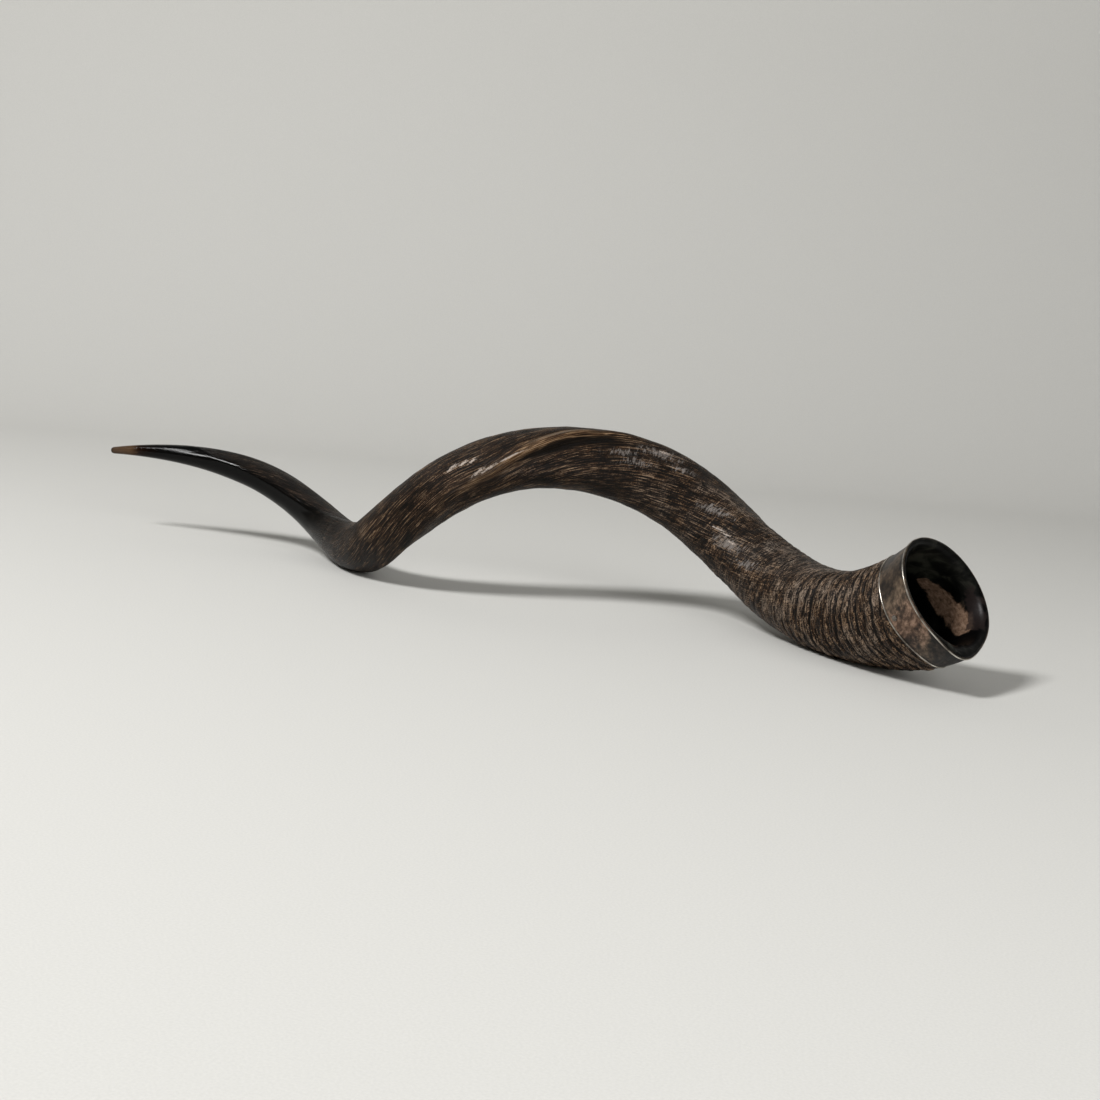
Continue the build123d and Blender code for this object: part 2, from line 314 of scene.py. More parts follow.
# ---- horn -------------------------------------------------------------------------------------------
def horn_rows():
    """One point for each row of the horn's skin: out from the blow hole, along the outside to
    the mouth, over the rim and back inside to the blow hole."""
    rounding = TIP_ROUNDING * (1 - np.cos(np.linspace(0, pi / 2, TIP_ROWS)))
    outside = np.concatenate((
        rounding,
        np.arange(TIP_ROUNDING + PLAIN_STEP, RINGS_FROM, PLAIN_STEP),
        np.arange(RINGS_FROM, SEAT_FROM, RING_STEP),
        np.arange(SEAT_FROM, AXIS_LENGTH, SEAT_STEP),
        [AXIS_LENGTH],
    ))
    hollow = np.arange(AXIS_LENGTH - 1.3 * LIP_ROUNDING, 0, -HOLLOW_STEP)
    inside = np.concatenate((np.full(RIM_ROWS, AXIS_LENGTH), hollow, [0.0]))

    short = np.clip(1 - outside / TIP_ROUNDING, 0, 1)
    rounded = TIP_FLAT + (1 - TIP_FLAT) * np.sqrt(1 - short ** 2)
    half_in = value("bore", inside)
    rim_half = value("half", inside[:RIM_ROWS]) - COLLAR_SHEET
    rim_share = np.linspace(1, 0, RIM_ROWS + 2)[1:-1]
    half_in[:RIM_ROWS] += (rim_half - half_in[:RIM_ROWS]) * rim_share
    inside[:RIM_ROWS] -= LIP_ROUNDING * (1 - rim_share) ** 3

    along = np.concatenate((outside, inside))
    swells = np.concatenate((np.ones(len(outside)), rim_share, np.zeros(len(hollow) + 1)))
    here, outward, across, _ = section_frame(along)
    return with_attributes(
        "horn_rows", here, outward=outward, across=across, arc=arc_length(along),
        half=np.concatenate((value("half", outside) * rounded, half_in)),
        keel=value("keel", along) * swells,
        groove=value("groove", along) * swells,
        ridge=value("ridge", along) * swells,
        ridge_at=value("ridge_at", along),
        crest_at=np.interp(arc_length(along), CREST_ARC, CREST_ANGLE),
        edge_at=np.interp(arc_length(along), EDGE_ARC, EDGE_ANGLE),
        streaked=np.exp(-(((arc_length(along) - STREAK_MIDDLE) / STREAK_LENGTH) ** 2)) * (along > 0),
        folded=np.exp(-(((arc_length(along) - FOLD_AT) / FOLD_LENGTH) ** 2)) * (along > 0),
        sharp=np.exp(-(((arc_length(along) - SHARP_AT) / SHARP_LENGTH) ** 2)) * (along > 0),
        outside=np.concatenate((np.ones(len(outside)), np.zeros(len(inside)))),
    )


def skin_tree():
    """Wraps a skin round a path of rows, each a circle swollen by a keel, a groove and a ridge,
    with growth rings round it and lumps along it."""
    tree, given = geometry_tree(
        "horn_skin", Columns="Int", KeelAt="Float", KeelSpread="Float", GrooveAt="Float",
        GrooveSpread="Float", RidgeSpread="Float", FacetAt="Float", FacetSpread="Float",
        CreaseSpread="Float", CreaseHeight="Float", RingSpacing="Float", RingDepth="Float",
        RingsFrom="Float", RingsFull="Float", RipplesFrom="Float", RippleShare="Float",
        LumpSize="Float", LumpHeight="Float", ChipDepth="Float", ChipsFrom="Float",
        StreakBeside="Float", StreakSpread="Float", FoldBeside="Float", FoldSpread="Float",
        FoldDepth="Float", CrestHeight="Float", CrackBeside="Float", CrackSpread="Float",
        CrackDepth="Float", FibreRadius="Float",
        MouthPoint="Vector", MouthFacing="Vector", SeatWidth="Float", SeatDepth="Float",
        Seed="Float", Horn="Material", Lining="Material",
    )
    new = partial(add, tree)
    rows = new("GeometryNodeAttributeDomainSize", [given["Geometry"]], component="MESH")
    last = new(MATH, (rows, 1.0), operation="SUBTRACT")
    tube = new(
        "GeometryNodeMeshCylinder",
        {"Vertices": given["Columns"], "Side Segments": last, "Depth": last}, fill_type="NONE",
    )
    place = new("GeometryNodeInputPosition")
    split = new("ShaderNodeSeparateXYZ", [place]).node.outputs
    row = new(MATH, (last, 0.5, split["Z"]), operation="MULTIPLY_ADD")
    row = new(MATH, [row], operation="ROUND")
    angle = new(MATH, (split["Y"], split["X"]), operation="ARCTAN2")

    # what is stored on the row that a point of the tube belongs to
    on_row = {"place": (new("GeometryNodeInputPosition"), "FLOAT_VECTOR")}
    for name in ("outward", "across"):
        on_row[name] = (new(READ, [name], data_type="FLOAT_VECTOR"), "FLOAT_VECTOR")
    for name in (
        "arc", "half", "keel", "groove", "ridge", "ridge_at", "crest_at", "edge_at", "streaked",
        "folded", "sharp", "outside",
    ):
        on_row[name] = (new(READ, [name], data_type="FLOAT"), "FLOAT")
    on_row = {
        name: new("GeometryNodeSampleIndex", (given["Geometry"], on_rows, row), data_type=kind)
        for name, (on_rows, kind) in on_row.items()
    }

    def hump(at, spread):
        """A smooth hump round the horn, 1 high where the angle is at."""
        away = new(MATH, (angle, at), operation="SUBTRACT")
        away = new(MATH, (away, pi, -pi), operation="WRAP")
        away = new(MATH, (away, spread), operation="DIVIDE")
        away = new(MATH, (new(MATH, (away, 2.0), operation="POWER"), -1.0), operation="MULTIPLY")
        return new(MATH, [away], operation="EXPONENT")

    # the circle and its swellings
    keel_near = hump(given["KeelAt"], given["KeelSpread"])
    ridge_near = hump(on_row["ridge_at"], given["RidgeSpread"])
    facet_at = new(MATH, (on_row["ridge_at"], given["FacetAt"]), operation="SUBTRACT")
    facet_near = hump(facet_at, given["FacetSpread"])
    swell = new(MATH, (on_row["keel"], keel_near, 1.0), operation="MULTIPLY_ADD")
    swell = new(MATH, (on_row["ridge"], ridge_near, swell), operation="MULTIPLY_ADD")
    crease = hump(on_row["edge_at"], given["CreaseSpread"])
    crease = new(MATH, (crease, on_row["sharp"]), operation="MULTIPLY")
    swell = new(MATH, (crease, given["CreaseHeight"], swell), operation="MULTIPLY_ADD")
    groove = hump(given["GrooveAt"], given["GrooveSpread"])
    groove = new(MATH, (on_row["groove"], groove), operation="MULTIPLY")
    swell = new(MATH, (swell, groove), operation="SUBTRACT")
    radius = new(MATH, (on_row["half"], swell), operation="MULTIPLY")

    # where a point sits on the skin: round the horn and along it, in metres
    arc, outside = on_row["arc"], on_row["outside"]
    turned = new("ShaderNodeCombineXYZ", (
        new(MATH, [angle], operation="COSINE"), new(MATH, [angle], operation="SINE"), 0.0,
    ))
    round_it = new(VECTOR, {0: turned, "Scale": radius}, operation="SCALE")
    grain = new(VECTOR, (round_it, new("ShaderNodeCombineXYZ", (0.0, 0.0, arc))), operation="ADD")
    shift = new("ShaderNodeCombineXYZ", (given["Seed"], given["Seed"], given["Seed"]))
    seeded = new(VECTOR, (grain, shift), operation="ADD")
    from_crest = new(MATH, (angle, on_row["crest_at"]), operation="SUBTRACT")
    fibre_sides = [
        new(MATH, (new(MATH, [from_crest], operation=wave), given["FibreRadius"]), operation="MULTIPLY")
        for wave in ("COSINE", "SINE")
    ]
    fibre = new("ShaderNodeCombineXYZ", (*fibre_sides, arc))
    past_edge = new(MATH, (on_row["edge_at"], angle), operation="SUBTRACT")
    past_edge = new(MATH, (past_edge, 1.5 * pi, -0.5 * pi), operation="WRAP")

    # growth rings: wavering lines that fork and join, in broad crests and narrow furrows
    waver = new(NOISE, {"Vector": seeded, "Scale": 22.0, "Detail": 3.0})
    waver = new(MATH, (waver, RING_WAVER), operation="MULTIPLY")
    phase = new(MATH, (arc, given["RingSpacing"]), operation="DIVIDE")
    phase = new(MATH, (phase, waver), operation="ADD")
    broad = new(MATH, [new(MATH, (phase, pi), operation="MULTIPLY")], operation="SINE")
    broad = new(MATH, (new(MATH, [broad], operation="ABSOLUTE"), RING_BREADTH), operation="POWER")
    drawn_out = new(VECTOR, (seeded, RING_LINE_CELLS), operation="MULTIPLY")
    lines = new(NOISE, {"Vector": drawn_out, "Scale": 1.0, "Detail": 3.0, "Roughness": 0.6})
    lines = new(RANGE, {"Value": lines, "From Min": 0.38, "From Max": 0.62})
    uneven = new(NOISE, {"Vector": seeded, "Scale": 48.0, "Detail": 2.0})
    uneven = new(RANGE, {"Value": uneven, "From Min": 0.35, "From Max": 0.62, "To Min": 0.25})
    wave = new(MATH, (new(MATH, (broad, 0.75), operation="SUBTRACT"), uneven), operation="MULTIPLY")
    wave = new(MATH, (new(MATH, (lines, 0.6), operation="SUBTRACT"), 0.4, wave), operation="MULTIPLY_ADD")
    full = new(
        RANGE, {"Value": arc, "From Min": given["RingsFrom"], "From Max": given["RingsFull"]},
        interpolation_type="SMOOTHSTEP",
    )
    rippled = new(RANGE, {"Value": arc, "From Min": given["RipplesFrom"], "From Max": given["RingsFrom"]})
    rippled = new(MATH, (rippled, outside), operation="MULTIPLY")
    smooth = new(MATH, (facet_near, full), operation="MULTIPLY")
    smooth = new(MATH, (smooth, -FACET_SMOOTH, 1.0), operation="MULTIPLY_ADD")
    banding = new(MATH, (new(MATH, (wave, rippled), operation="MULTIPLY"), smooth), operation="MULTIPLY")
    share = new(MATH, (full, given["RippleShare"]), operation="MAXIMUM")
    ring = new(MATH, (banding, share), operation="MULTIPLY")

    # lumps, fading out towards the tip, and chips out of the keel beside the collar
    lump_scale = new(MATH, (1.0, given["LumpSize"]), operation="DIVIDE")
    lump = new(NOISE, {"Vector": seeded, "Scale": lump_scale, "Detail": 3.0})
    lump = new(MATH, (lump, 0.5), operation="SUBTRACT")
    old = new(RANGE, {"Value": arc, "From Min": 0.05, "From Max": 0.35})
    lump = new(MATH, (new(MATH, (lump, old), operation="MULTIPLY"), outside), operation="MULTIPLY")
    chip = new(NOISE, {"Vector": seeded, "Scale": 170.0, "Detail": 3.0})
    chip = new(RANGE, {"Value": chip, "From Min": 0.5, "From Max": 0.6})
    chips_full = new(MATH, (given["ChipsFrom"], CHIPS_FADE), operation="ADD")
    by_collar = new(RANGE, {"Value": arc, "From Min": given["ChipsFrom"], "From Max": chips_full})
    chip = new(MATH, (new(MATH, (chip, by_collar), operation="MULTIPLY"), keel_near), operation="MULTIPLY")

    # the keel's crest: rubbed beside it, undercut by a fold below and by a crack above
    folded, crest_at = on_row["folded"], on_row["crest_at"]
    streak = hump(new(MATH, (crest_at, given["StreakBeside"]), operation="ADD"), given["StreakSpread"])
    streak = new(MATH, (streak, on_row["streaked"]), operation="MULTIPLY")
    fold = hump(new(MATH, (crest_at, given["FoldBeside"]), operation="ADD"), given["FoldSpread"])
    fold = new(MATH, (fold, folded), operation="MULTIPLY")
    crack = hump(new(MATH, (crest_at, given["CrackBeside"]), operation="SUBTRACT"), given["CrackSpread"])
    crack = new(MATH, (crack, folded), operation="MULTIPLY")
    crest = new(MATH, (hump(crest_at, given["FoldSpread"]), folded), operation="MULTIPLY")

    # the skin's points, sunk under the collar
    along_x = new(VECTOR, {0: on_row["outward"], "Scale": split["X"]}, operation="SCALE")
    along_y = new(VECTOR, {0: on_row["across"], "Scale": split["Y"]}, operation="SCALE")
    spoke = new(VECTOR, (along_x, along_y), operation="ADD")
    path = on_row["place"]
    unsunk = new(VECTOR, {0: spoke, "Scale": radius}, operation="SCALE")
    unsunk = new(VECTOR, (path, unsunk), operation="ADD")
    back = new(VECTOR, (given["MouthPoint"], unsunk), operation="SUBTRACT")
    back = new(VECTOR, (back, given["MouthFacing"]), operation="DOT_PRODUCT").node.outputs["Value"]
    inner_edge = new(MATH, (given["SeatWidth"], given["SeatDepth"]), operation="SUBTRACT")
    seated = new(RANGE, {"Value": back, "From Min": given["SeatWidth"], "From Max": inner_edge})
    seated = new(MATH, (seated, outside), operation="MULTIPLY")
    free = new(MATH, (1.0, seated), operation="SUBTRACT")
    relief = new(MATH, (ring, given["RingDepth"]), operation="MULTIPLY")
    relief = new(MATH, (lump, given["LumpHeight"], relief), operation="MULTIPLY_ADD")
    relief = new(MATH, (crest, given["CrestHeight"], relief), operation="MULTIPLY_ADD")
    for hollow, depth in ((chip, "ChipDepth"), (fold, "FoldDepth"), (crack, "CrackDepth")):
        hollow = new(MATH, (hollow, given[depth]), operation="MULTIPLY")
        relief = new(MATH, (relief, hollow), operation="SUBTRACT")
    reach = new(MATH, (relief, free, radius), operation="MULTIPLY_ADD")
    sunk = new(MATH, (seated, given["SeatDepth"]), operation="MULTIPLY")
    reach = new(MATH, (reach, sunk), operation="SUBTRACT")
    arm = new(VECTOR, {0: spoke, "Scale": reach}, operation="SCALE")

    skin = tube
    for name, kind, what in (
        ("grain", "FLOAT_VECTOR", grain), ("fibre", "FLOAT_VECTOR", fibre), ("arc", "FLOAT", arc),
        ("past_edge", "FLOAT", past_edge),
        ("ring", "FLOAT", ring), ("banding", "FLOAT", banding), ("fold", "FLOAT", fold),
        ("crack", "FLOAT", crack), ("streak", "FLOAT", streak), ("chip", "FLOAT", chip),
        ("facet_near", "FLOAT", facet_near), ("outside", "FLOAT", outside),
    ):
        skin = new(STORE, {"Geometry": skin, "Name": name, "Value": what}, data_type=kind, domain="POINT")
    placed = new(VECTOR, (path, arm), operation="ADD")
    skin = new("GeometryNodeSetPosition", {"Geometry": skin, "Position": placed})
    skin = new("GeometryNodeMergeByDistance", {"Geometry": skin, "Distance": 1e-6})
    skin = new("GeometryNodeSetShadeSmooth", {"Geometry": skin})
    skin = new("GeometryNodeRealizeInstances", [skin])
    inside = new(READ, ["outside"], data_type="FLOAT")
    inside = new("FunctionNodeCompare", {"A": inside, "B": 0.9}, operation="LESS_THAN")
    for covered, finish_name in ((True, "Horn"), (inside, "Lining")):
        skin = new("GeometryNodeSetMaterial", {
            "Geometry": skin, "Selection": covered, "Material": given[finish_name],
        })
    add(tree, "NodeGroupOutput", [skin])
    return tree


# ---- collar -----------------------------------------------------------------------------------------
def band_points(depth, angle, inset=0.0):
    """Points of the horn's outer surface on the planes that lie these depths behind the mouth."""
    fine = np.linspace(AXIS_LENGTH - 2 * COLLAR_WIDTH, AXIS_LENGTH, 300)
    points = np.empty((len(depth), len(angle), 3))
    for k, turn in enumerate(angle):
        behind = (MOUTH - outer_surface(fine, np.full(len(fine), turn))) @ MOUTH_FACING
        along = np.interp(-depth, -behind, fine)
        points[:, k] = outer_surface(along, np.full(len(along), turn), inset)
    return points


def band_start():
    """The bent strip as one closed ring of sheet, its outside first."""
    angle = np.arange(BAND_COLUMNS) / BAND_COLUMNS * 2 * pi
    edge = np.array((0.0, 0.12, 0.35)) * MM
    flat = np.linspace(edge[-1], COLLAR_WIDTH - edge[-1], BAND_ROWS)[1:-1]
    depth = np.concatenate((edge, flat, COLLAR_WIDTH - edge[::-1]))
    dip = np.zeros(len(depth))
    dip[[0, -1]], dip[[1, -2]] = 0.3 * MM, 0.1 * MM
    outer = band_points(depth[::-1], angle) - dip[::-1, None, None] * spokes(angle)
    inner = band_points(depth, angle, COLLAR_SHEET - 0.05 * MM) + 0.5 * dip[:, None, None] * spokes(angle)
    rows = np.concatenate((outer, inner))
    n, m = len(rows), len(angle)
    quads = [
        (i * m + j, i * m + (j + 1) % m, (i + 1) % n * m + (j + 1) % m, (i + 1) % n * m + j)
        for i in range(n) for j in range(m)
    ]
    back = np.repeat(np.concatenate((depth[::-1], depth)), m)
    turn = np.tile(angle, n)
    half = value("half", np.array([AXIS_LENGTH]))[0]
    return with_attributes(
        "band_start", rows.reshape(-1, 3), quads,
        grain=np.stack((half * np.cos(turn), half * np.sin(turn), back), axis=1),
        edge=np.minimum(back, COLLAR_WIDTH - back),
        copper=bump(turn - COPPER_AT, COPPER_SPREAD),
        sooty=bump(turn - LOW_SHADE_AT, LOW_SHADE_SPREAD),
        outer=np.repeat(np.concatenate((np.ones(len(depth)), np.zeros(len(depth)))), m),
    )


def spokes(angle):
    """Directions away from the horn's centre at the mouth."""
    _, outward, across, _ = (v[0] for v in section_frame(np.array([AXIS_LENGTH])))
    return np.cos(angle)[:, None] * outward + np.sin(angle)[:, None] * across


def sheet_tree():
    """Dents and ripples in thin sheet, fading to nothing at its edges."""
    tree, given = geometry_tree(
        "dented_sheet", DentSize="Float", DentDepth="Float", EdgeFade="Float", Seed="Float",
        Material="Material",
    )
    new = partial(add, tree)
    grain = new(READ, ["grain"], data_type="FLOAT_VECTOR")
    shift = new("ShaderNodeCombineXYZ", (given["Seed"], given["Seed"], given["Seed"]))
    seeded = new(VECTOR, (grain, shift), operation="ADD")
    scale = new(MATH, (1.0, given["DentSize"]), operation="DIVIDE")
    dent = new(NOISE, {"Vector": seeded, "Scale": scale, "Detail": 3.0, "Roughness": 0.55})
    dent = new(MATH, (new(MATH, (dent, 0.6), operation="SUBTRACT"), 2.0), operation="MULTIPLY")
    fade = new(RANGE, {"Value": new(READ, ["edge"], data_type="FLOAT"), "From Max": given["EdgeFade"]})
    fade = new(MATH, (fade, new(READ, ["outer"], data_type="FLOAT")), operation="MULTIPLY")
    dent = new(MATH, (dent, fade), operation="MULTIPLY")
    dent = new(MATH, (dent, given["DentDepth"]), operation="MULTIPLY")
    offset = new(VECTOR, {0: new("GeometryNodeInputNormal"), "Scale": dent}, operation="SCALE")
    sheet = new("GeometryNodeSetPosition", {"Geometry": given["Geometry"], "Offset": offset})
    sheet = new("GeometryNodeSetShadeSmooth", {"Geometry": sheet})
    sheet = new("GeometryNodeRealizeInstances", [sheet])
    sheet = new("GeometryNodeSetMaterial", {"Geometry": sheet, "Material": given["Material"]})
    add(tree, "NodeGroupOutput", [sheet])
    return tree


def ring_of(depth):
    """A closed ring of points round the band, this far behind the mouth."""
    angle = np.arange(WIRE_COLUMNS) / WIRE_COLUMNS * 2 * pi
    points = band_points(np.array([depth]), angle)[0]
    return with_attributes(
        "wire_route", points, edges=[(k, (k + 1) % len(points)) for k in range(len(points))]
    )


def wire_tree():
    """A wire along a closed route, a little thicker here and thinner there."""
    tree, given = geometry_tree(
        "edge_wire", Radius="Float", Sides="Int", Unevenness="Float", Seed="Float", Material="Material"
    )
    new = partial(add, tree)
    route = new("GeometryNodeMeshToCurve", [given["Geometry"]])
    shift = new("ShaderNodeCombineXYZ", (given["Seed"], 0.0, 0.0))
    place = new(VECTOR, (new("GeometryNodeInputPosition"), shift), operation="ADD")
    uneven = new(NOISE, {"Vector": place, "Scale": 120.0, "Detail": 2.0})
    uneven = strayed(tree, uneven, given["Unevenness"], 1.0)
    profile = new(
        "GeometryNodeCurvePrimitiveCircle", {"Resolution": given["Sides"], "Radius": given["Radius"]},
    )
    wire = new("GeometryNodeCurveToMesh", {"Curve": route, "Profile Curve": profile, "Scale": uneven})
    wire = new("GeometryNodeSetShadeSmooth", {"Geometry": wire})
    wire = new("GeometryNodeRealizeInstances", [wire])
    wire = new("GeometryNodeSetMaterial", {"Geometry": wire, "Material": given["Material"]})
    add(tree, "NodeGroupOutput", [wire])
    return tree


def nail_mesh():
    """One nail with a hammered round head, standing on the sheet's outside."""
    profile = [
        (NAIL_HEAD * sin(a), NAIL_EDGE + (NAIL_CROWN - NAIL_EDGE) * cos(a))
        for a in np.linspace(0.12, pi / 2, 8)
    ]
    profile += [
        (NAIL_HEAD, -NAIL_BED), (NAIL_SHANK, -NAIL_BED), (NAIL_SHANK, NAIL_POINT - NAIL_LENGTH),
    ]
    sides = 40
    points, faces = [(0, 0, NAIL_CROWN)], []
    for reach, height in profile:
        for k in range(sides):
            turn = 2 * pi * k / sides
            points.append((reach * cos(turn), reach * sin(turn), height))
    points.append((0, 0, -NAIL_LENGTH))
    last = len(points) - 1
    for k in range(sides):
        here, beside = k, (k + 1) % sides
        faces.append((0, 1 + here, 1 + beside))
        for row in range(len(profile) - 1):
            a, b = 1 + row * sides, 1 + (row + 1) * sides
            faces.append((a + here, b + here, b + beside, a + beside))
        faces.append((b + here, last, b + beside))
    return with_attributes("nail", points, faces)


def nail_places():
    """Where each nail goes through the band, and which way it faces."""
    angle = NAIL_FIRST_AT + 2 * pi * np.arange(NAIL_COUNT) / NAIL_COUNT
    at = band_points(np.array([NAIL_FROM_MOUTH]), angle)[0]
    beside = band_points(np.array([NAIL_FROM_MOUTH]), angle + 0.01)[0] - at
    behind = band_points(np.array([NAIL_FROM_MOUTH + MM]), angle)[0] - at
    return with_attributes("nail_places", at, facing=unit(np.cross(behind, beside)))


def nail_tree():
    """A nail on each point, turned to face outwards, with small dents from the hammer."""
    tree, given = geometry_tree(
        "collar_nails", Nail="Object", DentSize="Float", DentDepth="Float", Seed="Int", Material="Material"
    )
    new = partial(add, tree)
    facing = new(READ, ["facing"], data_type="FLOAT_VECTOR")
    turn = new("FunctionNodeAlignRotationToVector", {"Vector": facing}, axis="Z")
    spin = new("FunctionNodeRandomValue", {"Max": 2 * pi, "Seed": given["Seed"]}, data_type="FLOAT")
    spin = new("FunctionNodeAxisAngleToRotation", ((0.0, 0.0, 1.0), spin))
    turn = new("FunctionNodeRotateRotation", (turn, spin), rotation_space="LOCAL")
    model = new("GeometryNodeObjectInfo", [given["Nail"]]).node.outputs["Geometry"]
    nails = new("GeometryNodeInstanceOnPoints", {
        "Points": given["Geometry"], "Instance": model, "Rotation": turn,
    })
    nails = new("GeometryNodeRealizeInstances", [nails])
    scale = new(MATH, (1.0, given["DentSize"]), operation="DIVIDE")
    dent = new(NOISE, {"Vector": new("GeometryNodeInputPosition"), "Scale": scale, "Detail": 1.0})
    dent = new(MATH, (dent, 0.5), operation="SUBTRACT")
    dent = new(MATH, (dent, given["DentDepth"]), operation="MULTIPLY")
    offset = new(VECTOR, {0: new("GeometryNodeInputNormal"), "Scale": dent}, operation="SCALE")
    nails = new("GeometryNodeSetPosition", {"Geometry": nails, "Offset": offset})
    nails = new("GeometryNodeSetShadeSmooth", {"Geometry": nails})
    nails = new("GeometryNodeSetMaterial", {"Geometry": nails, "Material": given["Material"]})
    add(tree, "NodeGroupOutput", [nails])
    return tree


# ---- finishes -------------------------------------------------------------------------------------
def colour(code):
    """An sRGB hex colour as the linear value that a shader takes."""
    channels = [int(code[i:i + 2], 16) / 255 for i in (1, 3, 5)]
    return (*(c / 12.92 if c <= 0.04045 else ((c + 0.055) / 1.055) ** 2.4 for c in channels), 1.0)


def finish(name):
    """A new material with its tree and Principled shader."""
    material = bpy.data.materials.new(name)
    material.use_nodes = True
    tree = material.node_tree
    return material, tree, tree.nodes["Principled BSDF"]


def thin_lines(tree, noise, width):
    """1 where the noise crosses its middle value, 0 further away: fine branching lines."""
    away = add(tree, MATH, [add(tree, MATH, (noise, 0.5), operation="SUBTRACT")], operation="ABSOLUTE")
    return add(tree, RANGE, {"Value": away, "From Min": width, "From Max": 0.0})


def strayed(tree, noise, reach, base):
    """The base, moved up and down as the noise strays from its middle value."""
    away = add(tree, MATH, (noise, 0.5), operation="SUBTRACT")
    return add(tree, MATH, (away, reach, base), operation="MULTIPLY_ADD")


def spots(tree, grain, places):
    """1 at the middle of each spot on the skin, falling to 0 round it."""
    turned = add(tree, VECTOR, (grain, (-1, -1, 1000)), operation="MULTIPLY")
    split = add(tree, "ShaderNodeSeparateXYZ", [turned]).node.outputs
    angle = add(tree, MATH, (split["Y"], split["X"]), operation="ARCTAN2")
    angle = add(tree, MATH, (angle, 180 / pi, 180.0), operation="MULTIPLY_ADD")
    place = add(tree, "ShaderNodeCombineXYZ", (split["Z"], angle, 0.0))
    nearest = 9.0
    for arc, turn, length, width in places:
        away = add(tree, VECTOR, (place, (arc, turn, 0)), operation="SUBTRACT")
        away = add(tree, VECTOR, (away, (1 / length, 1 / width, 0)), operation="MULTIPLY")
        away = add(tree, VECTOR, [away], operation="LENGTH").node.outputs["Value"]
        nearest = add(tree, MATH, (nearest, away), operation="MINIMUM")
    nearest = add(tree, MATH, (nearest, 2.0), operation="POWER")
    nearest = add(tree, MATH, (nearest, -1.0), operation="MULTIPLY")
    return add(tree, MATH, [nearest], operation="EXPONENT")


